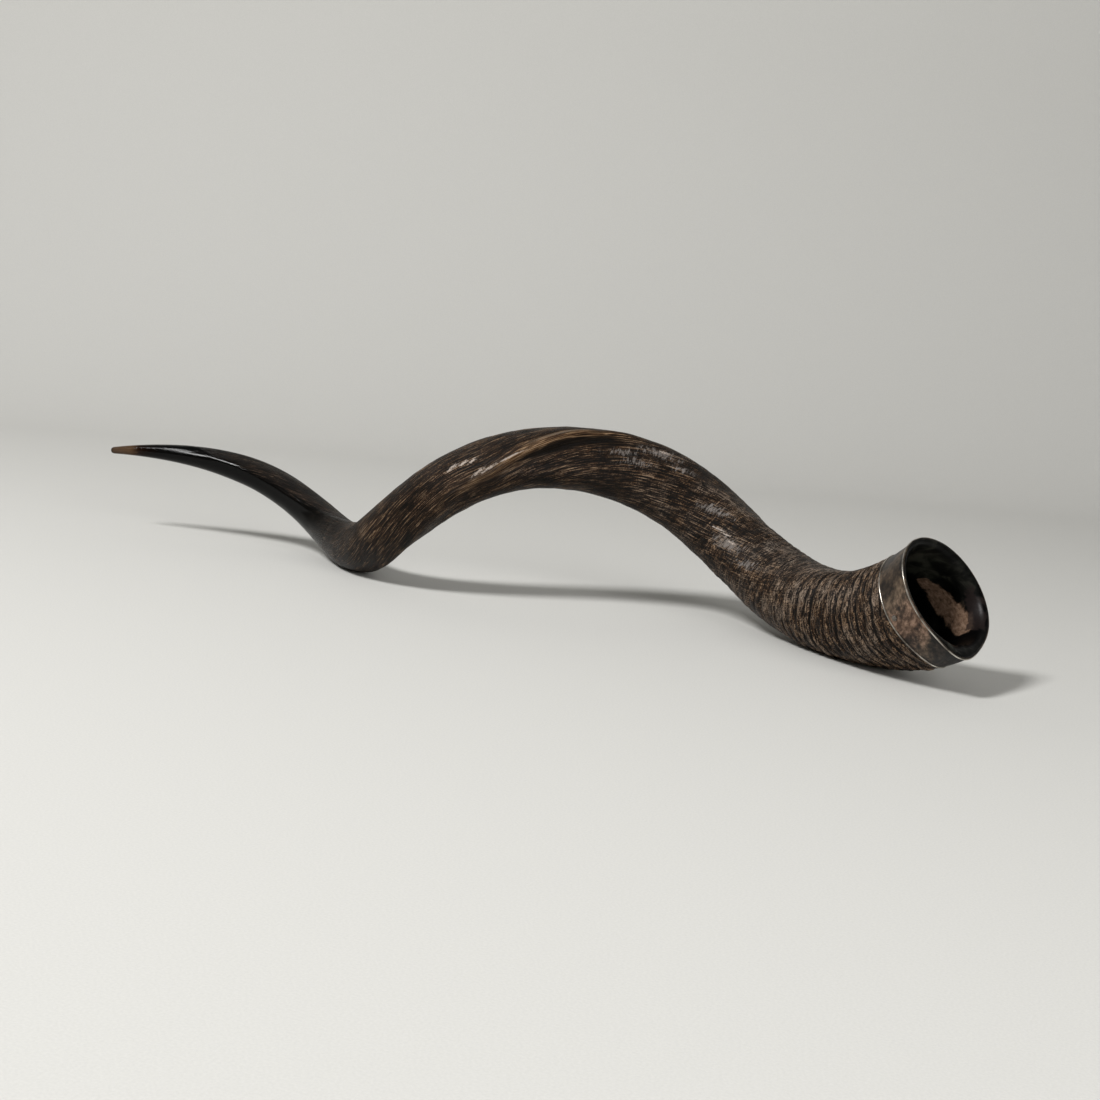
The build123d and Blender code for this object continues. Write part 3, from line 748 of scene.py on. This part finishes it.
def horn_keratin():
    """Horn sheath, scraped along its length and rubbed by hands: solid, black and glossy towards
    the tip, dark and fibrous along the middle, dull and darker between the rings of the base."""
    material, tree, shader = finish("scraped_horn_keratin")
    new = partial(add, tree)
    grain, fibre = (
        new(ATTRIBUTE, attribute_name=name).node.outputs["Vector"] for name in ("grain", "fibre")
    )
    arc, ring, banding, fold, crack, streak, facet, past_edge, chip = (
        new(ATTRIBUTE, attribute_name=name).node.outputs["Fac"]
        for name in ("arc", "ring", "banding", "fold", "crack", "streak", "facet_near", "past_edge", "chip")
    )
    brushed_sheen, glint = spots(tree, grain, BRUSHED_SHEEN_SPOTS), spots(tree, grain, GLINT_SPOTS)

    # fine fibres along the horn with longer, paler hairs among them; towards the mouth they give
    # way to growth lines round the horn
    stretched = new(VECTOR, (fibre, FIBRE_CELLS), operation="MULTIPLY")
    fibres = new(NOISE, {"Vector": stretched, "Scale": 1.0, "Detail": 2.0, "Roughness": 0.6})
    stretched = new(VECTOR, (fibre, HAIR_CELLS), operation="MULTIPLY")
    hairs = new(NOISE, {"Vector": stretched, "Scale": 1.0, "Detail": 1.0, "Roughness": 0.6})
    hairs = thin_lines(tree, hairs, 0.045)
    turned = new(VECTOR, (grain, GROWTH_LINE_CELLS), operation="MULTIPLY")
    lines = new(NOISE, {"Vector": turned, "Scale": 1.0, "Detail": 4.0, "Roughness": 0.7, "Distortion": 0.5})
    turned = new(VECTOR, (grain, CREASE_CELLS), operation="MULTIPLY")
    creases = new(NOISE, {
        "Vector": turned, "Scale": 1.0, "Detail": 5.0, "Roughness": 0.75, "Distortion": 0.6,
    })
    creases = thin_lines(tree, creases, 0.03)
    mottle = new(NOISE, {"Vector": grain, "Scale": MOTTLE_CELLS, "Detail": 5.0, "Roughness": 0.65})
    grit = new(NOISE, {"Vector": grain, "Scale": GRIT_CELLS, "Detail": 2.0, "Roughness": 0.6})
    ringed = new(RANGE, {"Value": arc, "From Min": 0.58, "From Max": 0.72}, interpolation_type="SMOOTHSTEP")
    lined = new(MATH, (ringed, 0.85), operation="MULTIPLY")
    weave = new(MIX, {"Factor": lined, "A": fibres, "B": lines}, data_type="FLOAT")
    crossed = new(RANGE, {"Value": arc, "From Min": 0.48, "From Max": 0.60, "To Max": 0.8})
    pale = new(MIX, {"Factor": crossed, "A": hairs, "B": creases}, data_type="FLOAT")
    gritty = new(RANGE, {"Value": ringed, "To Min": 1.0, "To Max": 1.5})
    tone = strayed(tree, weave, 3.0, 0.305)
    tone = strayed(tree, mottle, 0.6, tone)
    tone = strayed(tree, grit, gritty, tone)
    tone = new(MATH, (new(MATH, (pale, mottle), operation="MULTIPLY"), 0.8, tone), operation="MULTIPLY_ADD")
    young = new(RANGE, {"Value": arc, "From Min": 0.33, "From Max": 0.18}, interpolation_type="SMOOTHSTEP")
    tone = new(MATH, (young, -0.15, tone), operation="MULTIPLY_ADD")
    tone = new(MATH, (ringed, 0.18, tone), operation="MULTIPLY_ADD")
    crested = new(MATH, (banding, ringed), operation="MULTIPLY")
    tone = new(MATH, (crested, 0.6, tone), operation="MULTIPLY_ADD")
    rippling = new(RANGE, {"Value": banding, "From Min": -0.08, "From Max": -0.35, "To Max": 0.35})
    rippling = new(MATH, (rippling, new(MATH, (1.0, ringed), operation="SUBTRACT")), operation="MULTIPLY")
    tone = new(MATH, (tone, rippling), operation="ADD")
    creased = new(MATH, (creases, crossed), operation="MULTIPLY")
    tone = new(MATH, (creased, 0.22, tone), operation="MULTIPLY_ADD")
    brown = new(RAMP, [tone], stops=BROWNS)

    # the upper facet is worn grey, and the keel at the top of the arch is rubbed to a warm tan
    grey = new(RAMP, [tone], stops=GREYS)
    greyed = new(RANGE, {"Value": mottle, "From Min": 0.46, "From Max": 0.62})
    past_arch = new(
        RANGE, {"Value": arc, "From Min": 0.48, "From Max": 0.56}, interpolation_type="SMOOTHSTEP",
    )
    greyed = new(MATH, (greyed, past_arch), operation="MULTIPLY")
    facet_wear = new(MATH, (new(MATH, (facet, ringed), operation="MULTIPLY"), 0.7), operation="MULTIPLY")
    greyed = new(MATH, (greyed, 0.55, facet_wear), operation="MULTIPLY_ADD")
    greyed = new(MATH, (young, 0.35, greyed), operation="MULTIPLY_ADD", use_clamp=True)
    body = new(MIX, {"Factor": greyed, "A": brown, "B": grey}, data_type="RGBA")
    rubbed = new(MATH, (hairs, 0.3, fibres), operation="MULTIPLY_ADD")
    rubbed = new(MATH, (rubbed, 1.8), operation="MULTIPLY")
    rubbed = new(MATH, (rubbed, streak), operation="MULTIPLY", use_clamp=True)
    worn_tone = new(MATH, (hairs, 0.5, fibres), operation="MULTIPLY_ADD")
    worn_tone = new(MATH, (streak, 0.15, worn_tone), operation="MULTIPLY_ADD")
    tan = new(RAMP, [worn_tone], stops=TANS)
    body = new(MIX, {"Factor": rubbed, "A": body, "B": tan}, data_type="RGBA")

    # the solid tip: tan at the very end, then red-brown, then black
    wander = strayed(tree, fibres, 0.016, arc)
    tip = new(RAMP, [new(MATH, (wander, TIP_SPAN), operation="DIVIDE")], stops=TIP_COLOURS)
    streaked = new(MATH, (fibres, -0.45, 1.2), operation="MULTIPLY_ADD")
    streaked = new(MATH, (streaked, 0.0), operation="MAXIMUM")
    tip = new(MIX, {"Factor": 1.0, "A": tip, "B": streaked}, data_type="RGBA", blend_type="MULTIPLY")
    frayed = strayed(tree, fibres, 0.5, past_edge)
    on_facet = new(RANGE, {"Value": frayed, "From Min": 0.14, "From Max": 0.30})
    round_back = new(RANGE, {"Value": frayed, "From Min": 2.6, "From Max": 2.2})
    on_facet = new(MATH, (on_facet, round_back), operation="MULTIPLY")
    from_tip = new(RANGE, {"Value": wander, "From Min": 0.07, "From Max": 0.11})
    on_facet = new(MATH, (on_facet, from_tip), operation="MULTIPLY")
    fibrous = new(
        RANGE, {"Value": wander, "From Min": 0.19, "From Max": 0.27}, interpolation_type="SMOOTHSTEP",
    )
    fibrous = new(MATH, (fibrous, on_facet), operation="MAXIMUM")
    skin = new(MIX, {"Factor": fibrous, "A": tip, "B": body}, data_type="RGBA")

    # bare horn scuffed across the grain with painted sheen, polished nicks with painted highlights, a
    # painted highlight along the crack, painted shade in the fold, and darker chips and furrows
    flakes = new(VECTOR, (grain, FLAKE_CELLS), operation="MULTIPLY")
    flakes = new(NOISE, {
        "Vector": flakes, "Scale": 1.0, "Detail": 5.0, "Roughness": 0.75, "Distortion": 0.5,
    })
    # pale grey of scuffed bare horn, with painted sheen in the same colour
    flakes_and_sheen = new(MATH, (brushed_sheen, 0.17, flakes), operation="MULTIPLY_ADD")
    flakes_and_sheen = new(RANGE, {"Value": flakes_and_sheen, "From Min": 0.59, "From Max": 0.72, "To Max": 0.85})
    on_spot = new(MATH, (brushed_sheen, 3.0), operation="MULTIPLY", use_clamp=True)
    flakes_and_sheen = new(MATH, (flakes_and_sheen, on_spot), operation="MULTIPLY")
    skin = new(MIX, {"Factor": flakes_and_sheen, "A": skin, "B": colour("#7F7873")}, data_type="RGBA")
    # polished nicks of bare horn, pale and glossy, with painted highlights on them
    nicks_and_glints = strayed(tree, fibres, 1.6, glint)
    nicks_and_glints = strayed(tree, grit, 2.4, nicks_and_glints)
    nicks_and_glints = new(RANGE, {"Value": nicks_and_glints, "From Min": 0.35, "From Max": 0.8, "To Max": 0.9})
    on_spot = new(MATH, (glint, 3.0), operation="MULTIPLY", use_clamp=True)
    nicks_and_glints = new(MATH, (nicks_and_glints, on_spot), operation="MULTIPLY")
    skin = new(MIX, {"Factor": nicks_and_glints, "A": skin, "B": colour("#AFA297")}, data_type="RGBA")
    # a painted highlight along the crack above the keel's crest
    lit = new(RANGE, {"Value": crack, "From Min": 0.45, "From Max": 0.9, "To Max": 0.6})
    skin = new(MIX, {"Factor": lit, "A": skin, "B": colour("#7A6B5B")}, data_type="RGBA")
    # painted shade in the fold under the keel's crest
    painted_fold_shade = new(RANGE, {"Value": fold, "From Min": 0.15, "From Max": 0.5, "To Max": 0.95})
    skin = new(MIX, {"Factor": painted_fold_shade, "A": skin, "B": colour("#070503")}, data_type="RGBA")
    # darker in the chips beside the collar and in the ring furrows
    darker_chips = new(RANGE, {"Value": chip, "To Max": 0.85})
    skin = new(MIX, {"Factor": darker_chips, "A": skin, "B": colour("#0D0907")}, data_type="RGBA")
    furrow = new(RANGE, {"Value": ring, "From Min": -0.10, "From Max": -0.42, "To Max": 0.9})
    skin = new(MIX, {"Factor": furrow, "A": skin, "B": colour("#0A0705")}, data_type="RGBA")
    tree.links.new(skin, shader.inputs["Base Color"])

    dull = new(RANGE, {"Value": fibrous, "To Min": 0.10, "To Max": 0.26})
    mottled = new(MATH, (mottle, fibrous), operation="MULTIPLY")
    dull = new(MATH, (mottled, 0.40, dull), operation="MULTIPLY_ADD")
    dull = new(MATH, (rubbed, -0.16, dull), operation="MULTIPLY_ADD")
    dull = new(MATH, (flakes_and_sheen, -0.12, dull), operation="MULTIPLY_ADD")
    dull = new(MATH, (nicks_and_glints, -0.25, dull), operation="MULTIPLY_ADD")
    tree.links.new(dull, shader.inputs["Roughness"])
    height = new(MATH, (new(MATH, (grit, 0.5), operation="MULTIPLY"), weave), operation="ADD")
    height = new(MATH, (pale, 0.25, height), operation="MULTIPLY_ADD")
    rough_share = new(MATH, (fibrous, 0.96, 0.04), operation="MULTIPLY_ADD")
    height = new(MATH, (height, rough_share), operation="MULTIPLY")
    bumps = new("ShaderNodeBump", {"Strength": 1.0, "Distance": 0.0007, "Height": height})
    tree.links.new(bumps, shader.inputs["Normal"])
    shader.inputs["IOR"].default_value = HORN_IOR
    shader.inputs["Specular IOR Level"].default_value = 0.12
    return material


def lining():
    """The bell's inside, scraped down to hard horn and polished: black, with a smooth tan core
    showing through on one side."""
    material, tree, shader = finish("polished_bell_lining")
    new = partial(add, tree)
    grain = new(ATTRIBUTE, attribute_name="grain").node.outputs["Vector"]
    tan, purple, olive = (spots(tree, grain, places) for places in (TAN_SPOTS, PURPLE_SPOTS, OLIVE_SPOTS))
    cloud = new(NOISE, {"Vector": grain, "Scale": 80.0, "Detail": 5.0, "Roughness": 0.6, "Distortion": 0.6})
    speck = new(NOISE, {"Vector": grain, "Scale": 380.0, "Detail": 4.0, "Roughness": 0.6})
    misted = new(MATH, (olive, 0.22, cloud), operation="MULTIPLY_ADD")
    dark = new(RAMP, [misted], stops=((0.46, "#030303"), (0.60, "#0F0F0D"), (0.76, "#2B2B25")))
    core = new(RAMP, [speck], stops=((0.30, "#43352A"), (0.48, "#6A5444"), (0.70, "#866F5E")))
    shown = strayed(tree, cloud, 1.5, tan)
    shown = new(
        RANGE, {"Value": shown, "From Min": 0.30, "From Max": 0.56}, interpolation_type="SMOOTHSTEP",
    )
    coat = new(MIX, {"Factor": shown, "A": dark, "B": core}, data_type="RGBA")
    stained = strayed(tree, cloud, 1.8, purple)
    stained = new(
        RANGE, {"Value": stained, "From Min": 0.4, "From Max": 0.6, "To Max": 0.85},
        interpolation_type="SMOOTHSTEP",
    )
    coat = new(MIX, {"Factor": stained, "A": coat, "B": colour("#1C1615")}, data_type="RGBA")
    tree.links.new(coat, shader.inputs["Base Color"])
    dull = new(RANGE, {"Value": shown, "To Min": 0.34, "To Max": 0.5})
    tree.links.new(dull, shader.inputs["Roughness"])
    bumps = new("ShaderNodeBump", {"Strength": 0.35, "Distance": 0.0006, "Height": cloud})
    tree.links.new(bumps, shader.inputs["Normal"])
    shader.inputs["IOR"].default_value = HORN_IOR
    shader.inputs["Specular IOR Level"].default_value = 0.08
    return material


def collar_sheet():
    """Thin copper sheet, hand-bent and long handled: dark brown tarnish with bright metal
    coming through where it is rubbed."""
    material, tree, shader = finish("tarnished_copper_sheet")
    new = partial(add, tree)
    grain = new(ATTRIBUTE, attribute_name="grain").node.outputs["Vector"]
    copper = new(ATTRIBUTE, attribute_name="copper").node.outputs["Fac"]
    sooty = new(ATTRIBUTE, attribute_name="sooty").node.outputs["Fac"]
    cloud = new(NOISE, {
        "Vector": grain, "Scale": 52.0, "Detail": 7.0, "Roughness": 0.62, "Distortion": 0.8,
    })
    fine = new(NOISE, {"Vector": grain, "Scale": 320.0, "Detail": 5.0, "Roughness": 0.6})
    scratch = new(VECTOR, (grain, SCRATCH_CELLS), operation="MULTIPLY")
    scratch = new(NOISE, {"Vector": scratch, "Scale": 1.0, "Detail": 2.0})
    marbled = strayed(tree, fine, 0.5, cloud)
    # painted shade on the collar's lower side
    marbled = new(MATH, (sooty, -0.09, marbled), operation="MULTIPLY_ADD")
    tarnish = new(RAMP, [marbled], stops=(
        (0.34, "#110E0C"), (0.45, "#2D2621"), (0.56, "#4F4236"), (0.70, "#756453"),
    ))
    rubbed_tone = new(MIX, {"Factor": 0.45, "A": cloud, "B": fine}, data_type="FLOAT")
    metal = new(RAMP, [rubbed_tone], stops=((0.36, "#43332A"), (0.50, "#70584A"), (0.62, "#B0927E")))
    rub = new(MATH, (cloud, 1.6, copper), operation="MULTIPLY_ADD")
    rub = strayed(tree, fine, 0.7, rub)
    rub = new(
        RANGE, {"Value": rub, "From Min": 1.45, "From Max": 1.95, "To Max": 0.8},
        interpolation_type="SMOOTHSTEP",
    )
    skin = new(MIX, {"Factor": rub, "A": tarnish, "B": metal}, data_type="RGBA")
    tree.links.new(skin, shader.inputs["Base Color"])
    shine = new(RANGE, {"Value": rub, "To Min": 0.55, "To Max": 0.9})
    tree.links.new(shine, shader.inputs["Metallic"])
    dull = new(MATH, (new(MATH, (scratch, 0.35), operation="MULTIPLY"), 0.3), operation="ADD")
    dull = new(MATH, (rub, -0.1, dull), operation="MULTIPLY_ADD")
    tree.links.new(dull, shader.inputs["Roughness"])
    height = new(MATH, (new(MATH, (scratch, 0.3), operation="MULTIPLY"), fine), operation="ADD")
    bumps = new("ShaderNodeBump", {"Strength": 0.5, "Distance": 0.0003, "Height": height})
    tree.links.new(bumps, shader.inputs["Normal"])
    return material


def wire_silver():
    """Silver solder wire, rubbed bright in patches and tarnished between them."""
    material, tree, shader = finish("rubbed_silver_wire")
    new = partial(add, tree)
    place = new("ShaderNodeTexCoord").node.outputs["Object"]
    cloud = new(NOISE, {"Vector": place, "Scale": 130.0, "Detail": 4.0})
    skin = new(RAMP, [cloud], stops=((0.36, "#6E675E"), (0.52, "#B5AEA4"), (0.66, "#DAD5CC")))
    tree.links.new(skin, shader.inputs["Base Color"])
    tree.links.new(new(RANGE, {"Value": cloud, "To Min": 0.42, "To Max": 0.16}), shader.inputs["Roughness"])
    shader.inputs["Metallic"].default_value = 1.0
    return material


def nail_iron():
    """Hand-forged iron, oil-black in the hollows and rubbed grey where the hammer left it high."""
    material, tree, shader = finish("forged_iron")
    new = partial(add, tree)
    place = new("ShaderNodeTexCoord").node.outputs["Object"]
    pits = new(NOISE, {"Vector": place, "Scale": 1600.0, "Detail": 3.0})
    skin = new(RAMP, [pits], stops=((0.36, "#38332E"), (0.60, "#8F8880")))
    tree.links.new(skin, shader.inputs["Base Color"])
    tree.links.new(new(RANGE, {"Value": pits, "To Min": 0.5, "To Max": 0.22}), shader.inputs["Roughness"])
    shader.inputs["Metallic"].default_value = 0.9
    bumps = new("ShaderNodeBump", {"Strength": 0.4, "Distance": 0.0002, "Height": pits})
    tree.links.new(bumps, shader.inputs["Normal"])
    return material


def backdrop_paper():
    """Matt paper off the roll: pale, even and without any shine."""
    material, tree, shader = finish("matt_backdrop_paper")
    place = add(tree, "ShaderNodeTexCoord").node.outputs["Object"]
    pulp = add(tree, NOISE, {"Vector": place, "Scale": 900.0, "Detail": 2.0})
    tone = add(tree, RAMP, [pulp], stops=((0.3, "#C2C1BD"), (0.7, "#C8C7C3")))
    tree.links.new(tone, shader.inputs["Base Color"])
    shader.inputs["Roughness"].default_value = 0.9
    return material


# ---- the object -------------------------------------------------------------------------------------
horn = grown(
    "spiral_horn", horn_rows(), skin_tree(),
    Columns=COLUMNS, KeelAt=KEEL_AT, KeelSpread=KEEL_SPREAD, GrooveAt=GROOVE_AT,
    GrooveSpread=GROOVE_SPREAD, RidgeSpread=RIDGE_SPREAD, FacetAt=FACET_AT, FacetSpread=FACET_SPREAD,
    CreaseSpread=radians(9), CreaseHeight=0.06,
    RingSpacing=RING_SPACING, RingDepth=RING_DEPTH, RingsFrom=655 * MM, RingsFull=720 * MM,
    RipplesFrom=540 * MM, RippleShare=0.35,
    LumpSize=24 * MM, LumpHeight=2.2 * MM, ChipDepth=1.6 * MM, ChipsFrom=768 * MM,
    StreakBeside=radians(8), StreakSpread=radians(13), FoldBeside=radians(16),
    FoldSpread=radians(8), FoldDepth=2.8 * MM, CrestHeight=1.5 * MM,
    CrackBeside=radians(8), CrackSpread=radians(4), CrackDepth=0.8 * MM,
    FibreRadius=22 * MM,
    MouthPoint=tuple(MOUTH), MouthFacing=tuple(MOUTH_FACING),
    SeatWidth=COLLAR_WIDTH, SeatDepth=COLLAR_SHEET, Seed=3.7,
    Horn=horn_keratin(), Lining=lining(),
)
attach(horn, "root")
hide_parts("horn")

band = grown(
    "collar_sheet", band_start(), sheet_tree(),
    DentSize=16 * MM, DentDepth=0.35 * MM, EdgeFade=4 * MM, Seed=1.3, Material=collar_sheet(),
)
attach(band, "root")
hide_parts("collar_band")

wires, silver = wire_tree(), wire_silver()
for name, depth in (("rim_wire", WIRE_SETBACK), ("back_wire", COLLAR_WIDTH - WIRE_SETBACK)):
    wire = grown(
        name + "_round", ring_of(depth), wires,
        Radius=WIRE_RADIUS, Sides=14, Unevenness=0.5, Seed=depth, Material=silver,
    )
    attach(wire, "root")
    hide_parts(name)

nail_model = bpy.data.objects.new("nail_model", nail_mesh())
nails = grown(
    "collar_nails", nail_places(), nail_tree(),
    Nail=nail_model, DentSize=1.2 * MM, DentDepth=0.15 * MM, Seed=5, Material=nail_iron(),
)
bpy.data.objects.remove(nail_model)
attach(nails, "root")
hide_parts(*(f"collar_nail_{number + 1}" for number in range(NAIL_COUNT)))


# ---- studio ------------------------------------------------------------------------------------------
def backdrop():
    """A pale seamless sheet: flat under the horn and curved up all round it, open above."""
    aside, front, back, corner, bend, height = 3.0, -2.6, 0.8, 0.7, 0.6, 3.0
    profile = [(bend * sin(a), bend - bend * cos(a)) for a in np.linspace(0, pi / 2, 25)]
    profile.append((bend, height))
    route = []
    for quarter, (x, y) in enumerate(((aside, back), (-aside, back), (-aside, front), (aside, front))):
        x, y = x - np.sign(x) * corner, y - np.sign(y) * corner
        route += [(x, y, (quarter + share) * pi / 2) for share in np.linspace(0, 1, 13)]
    turn = Matrix.Rotation(radians(26), 3, "Z")
    points = [
        tuple(turn @ Vector((x + (corner + out) * cos(a), y + (corner + out) * sin(a), up)))
        for out, up in profile for x, y, a in route
    ]
    n = len(route)
    faces = [
        (row * n + k, (row + 1) * n + k, (row + 1) * n + (k + 1) % n, row * n + (k + 1) % n)
        for row in range(len(profile) - 1) for k in range(n)
    ]
    mesh = with_attributes("backdrop", points, [tuple(range(n)), *faces])
    for polygon in mesh.polygons:
        polygon.use_smooth = True
    sheet = bpy.data.objects.new("backdrop", mesh)
    bpy.context.scene.collection.objects.link(sheet)
    mesh.materials.append(backdrop_paper())


def lamp(name, place, target, size, power, mirrored=True):
    light = bpy.data.lights.new(name, "AREA")
    light.shape = "DISK"
    light.size, light.energy = size, power
    holder = bpy.data.objects.new(name, light)
    bpy.context.scene.collection.objects.link(holder)
    holder.location = place
    holder.rotation_euler = (Vector(target) - Vector(place)).to_track_quat("-Z", "Y").to_euler()
    holder.visible_glossy = mirrored


backdrop()
lamp("key", (-0.7, -1.5, 1.9), (0, 0, 0.05), 0.6, 62)
lamp("fill", (1.9, -1.2, 0.9), (0, 0, 0.05), 1.4, 26, mirrored=False)
world = bpy.data.worlds.new("studio")
bpy.context.scene.world = world
world.use_nodes = True
world.node_tree.nodes["Background"].inputs["Color"].default_value = colour("#D8D8D6")
world.node_tree.nodes["Background"].inputs["Strength"].default_value = 0.28

camera_data = bpy.data.cameras.new("camera")
camera_data.lens, camera_data.sensor_width = 57.1, 36.0
camera_data.clip_start, camera_data.clip_end = 0.05, 20.0
camera = bpy.data.objects.new("camera", camera_data)
bpy.context.scene.collection.objects.link(camera)
camera.location = (0.56685, -1.11018, 0.23420)
camera.rotation_euler = (radians(80.962), radians(-5.073), radians(26.228))
bpy.context.scene.camera = camera
bpy.context.scene.view_settings.view_transform = "Standard"
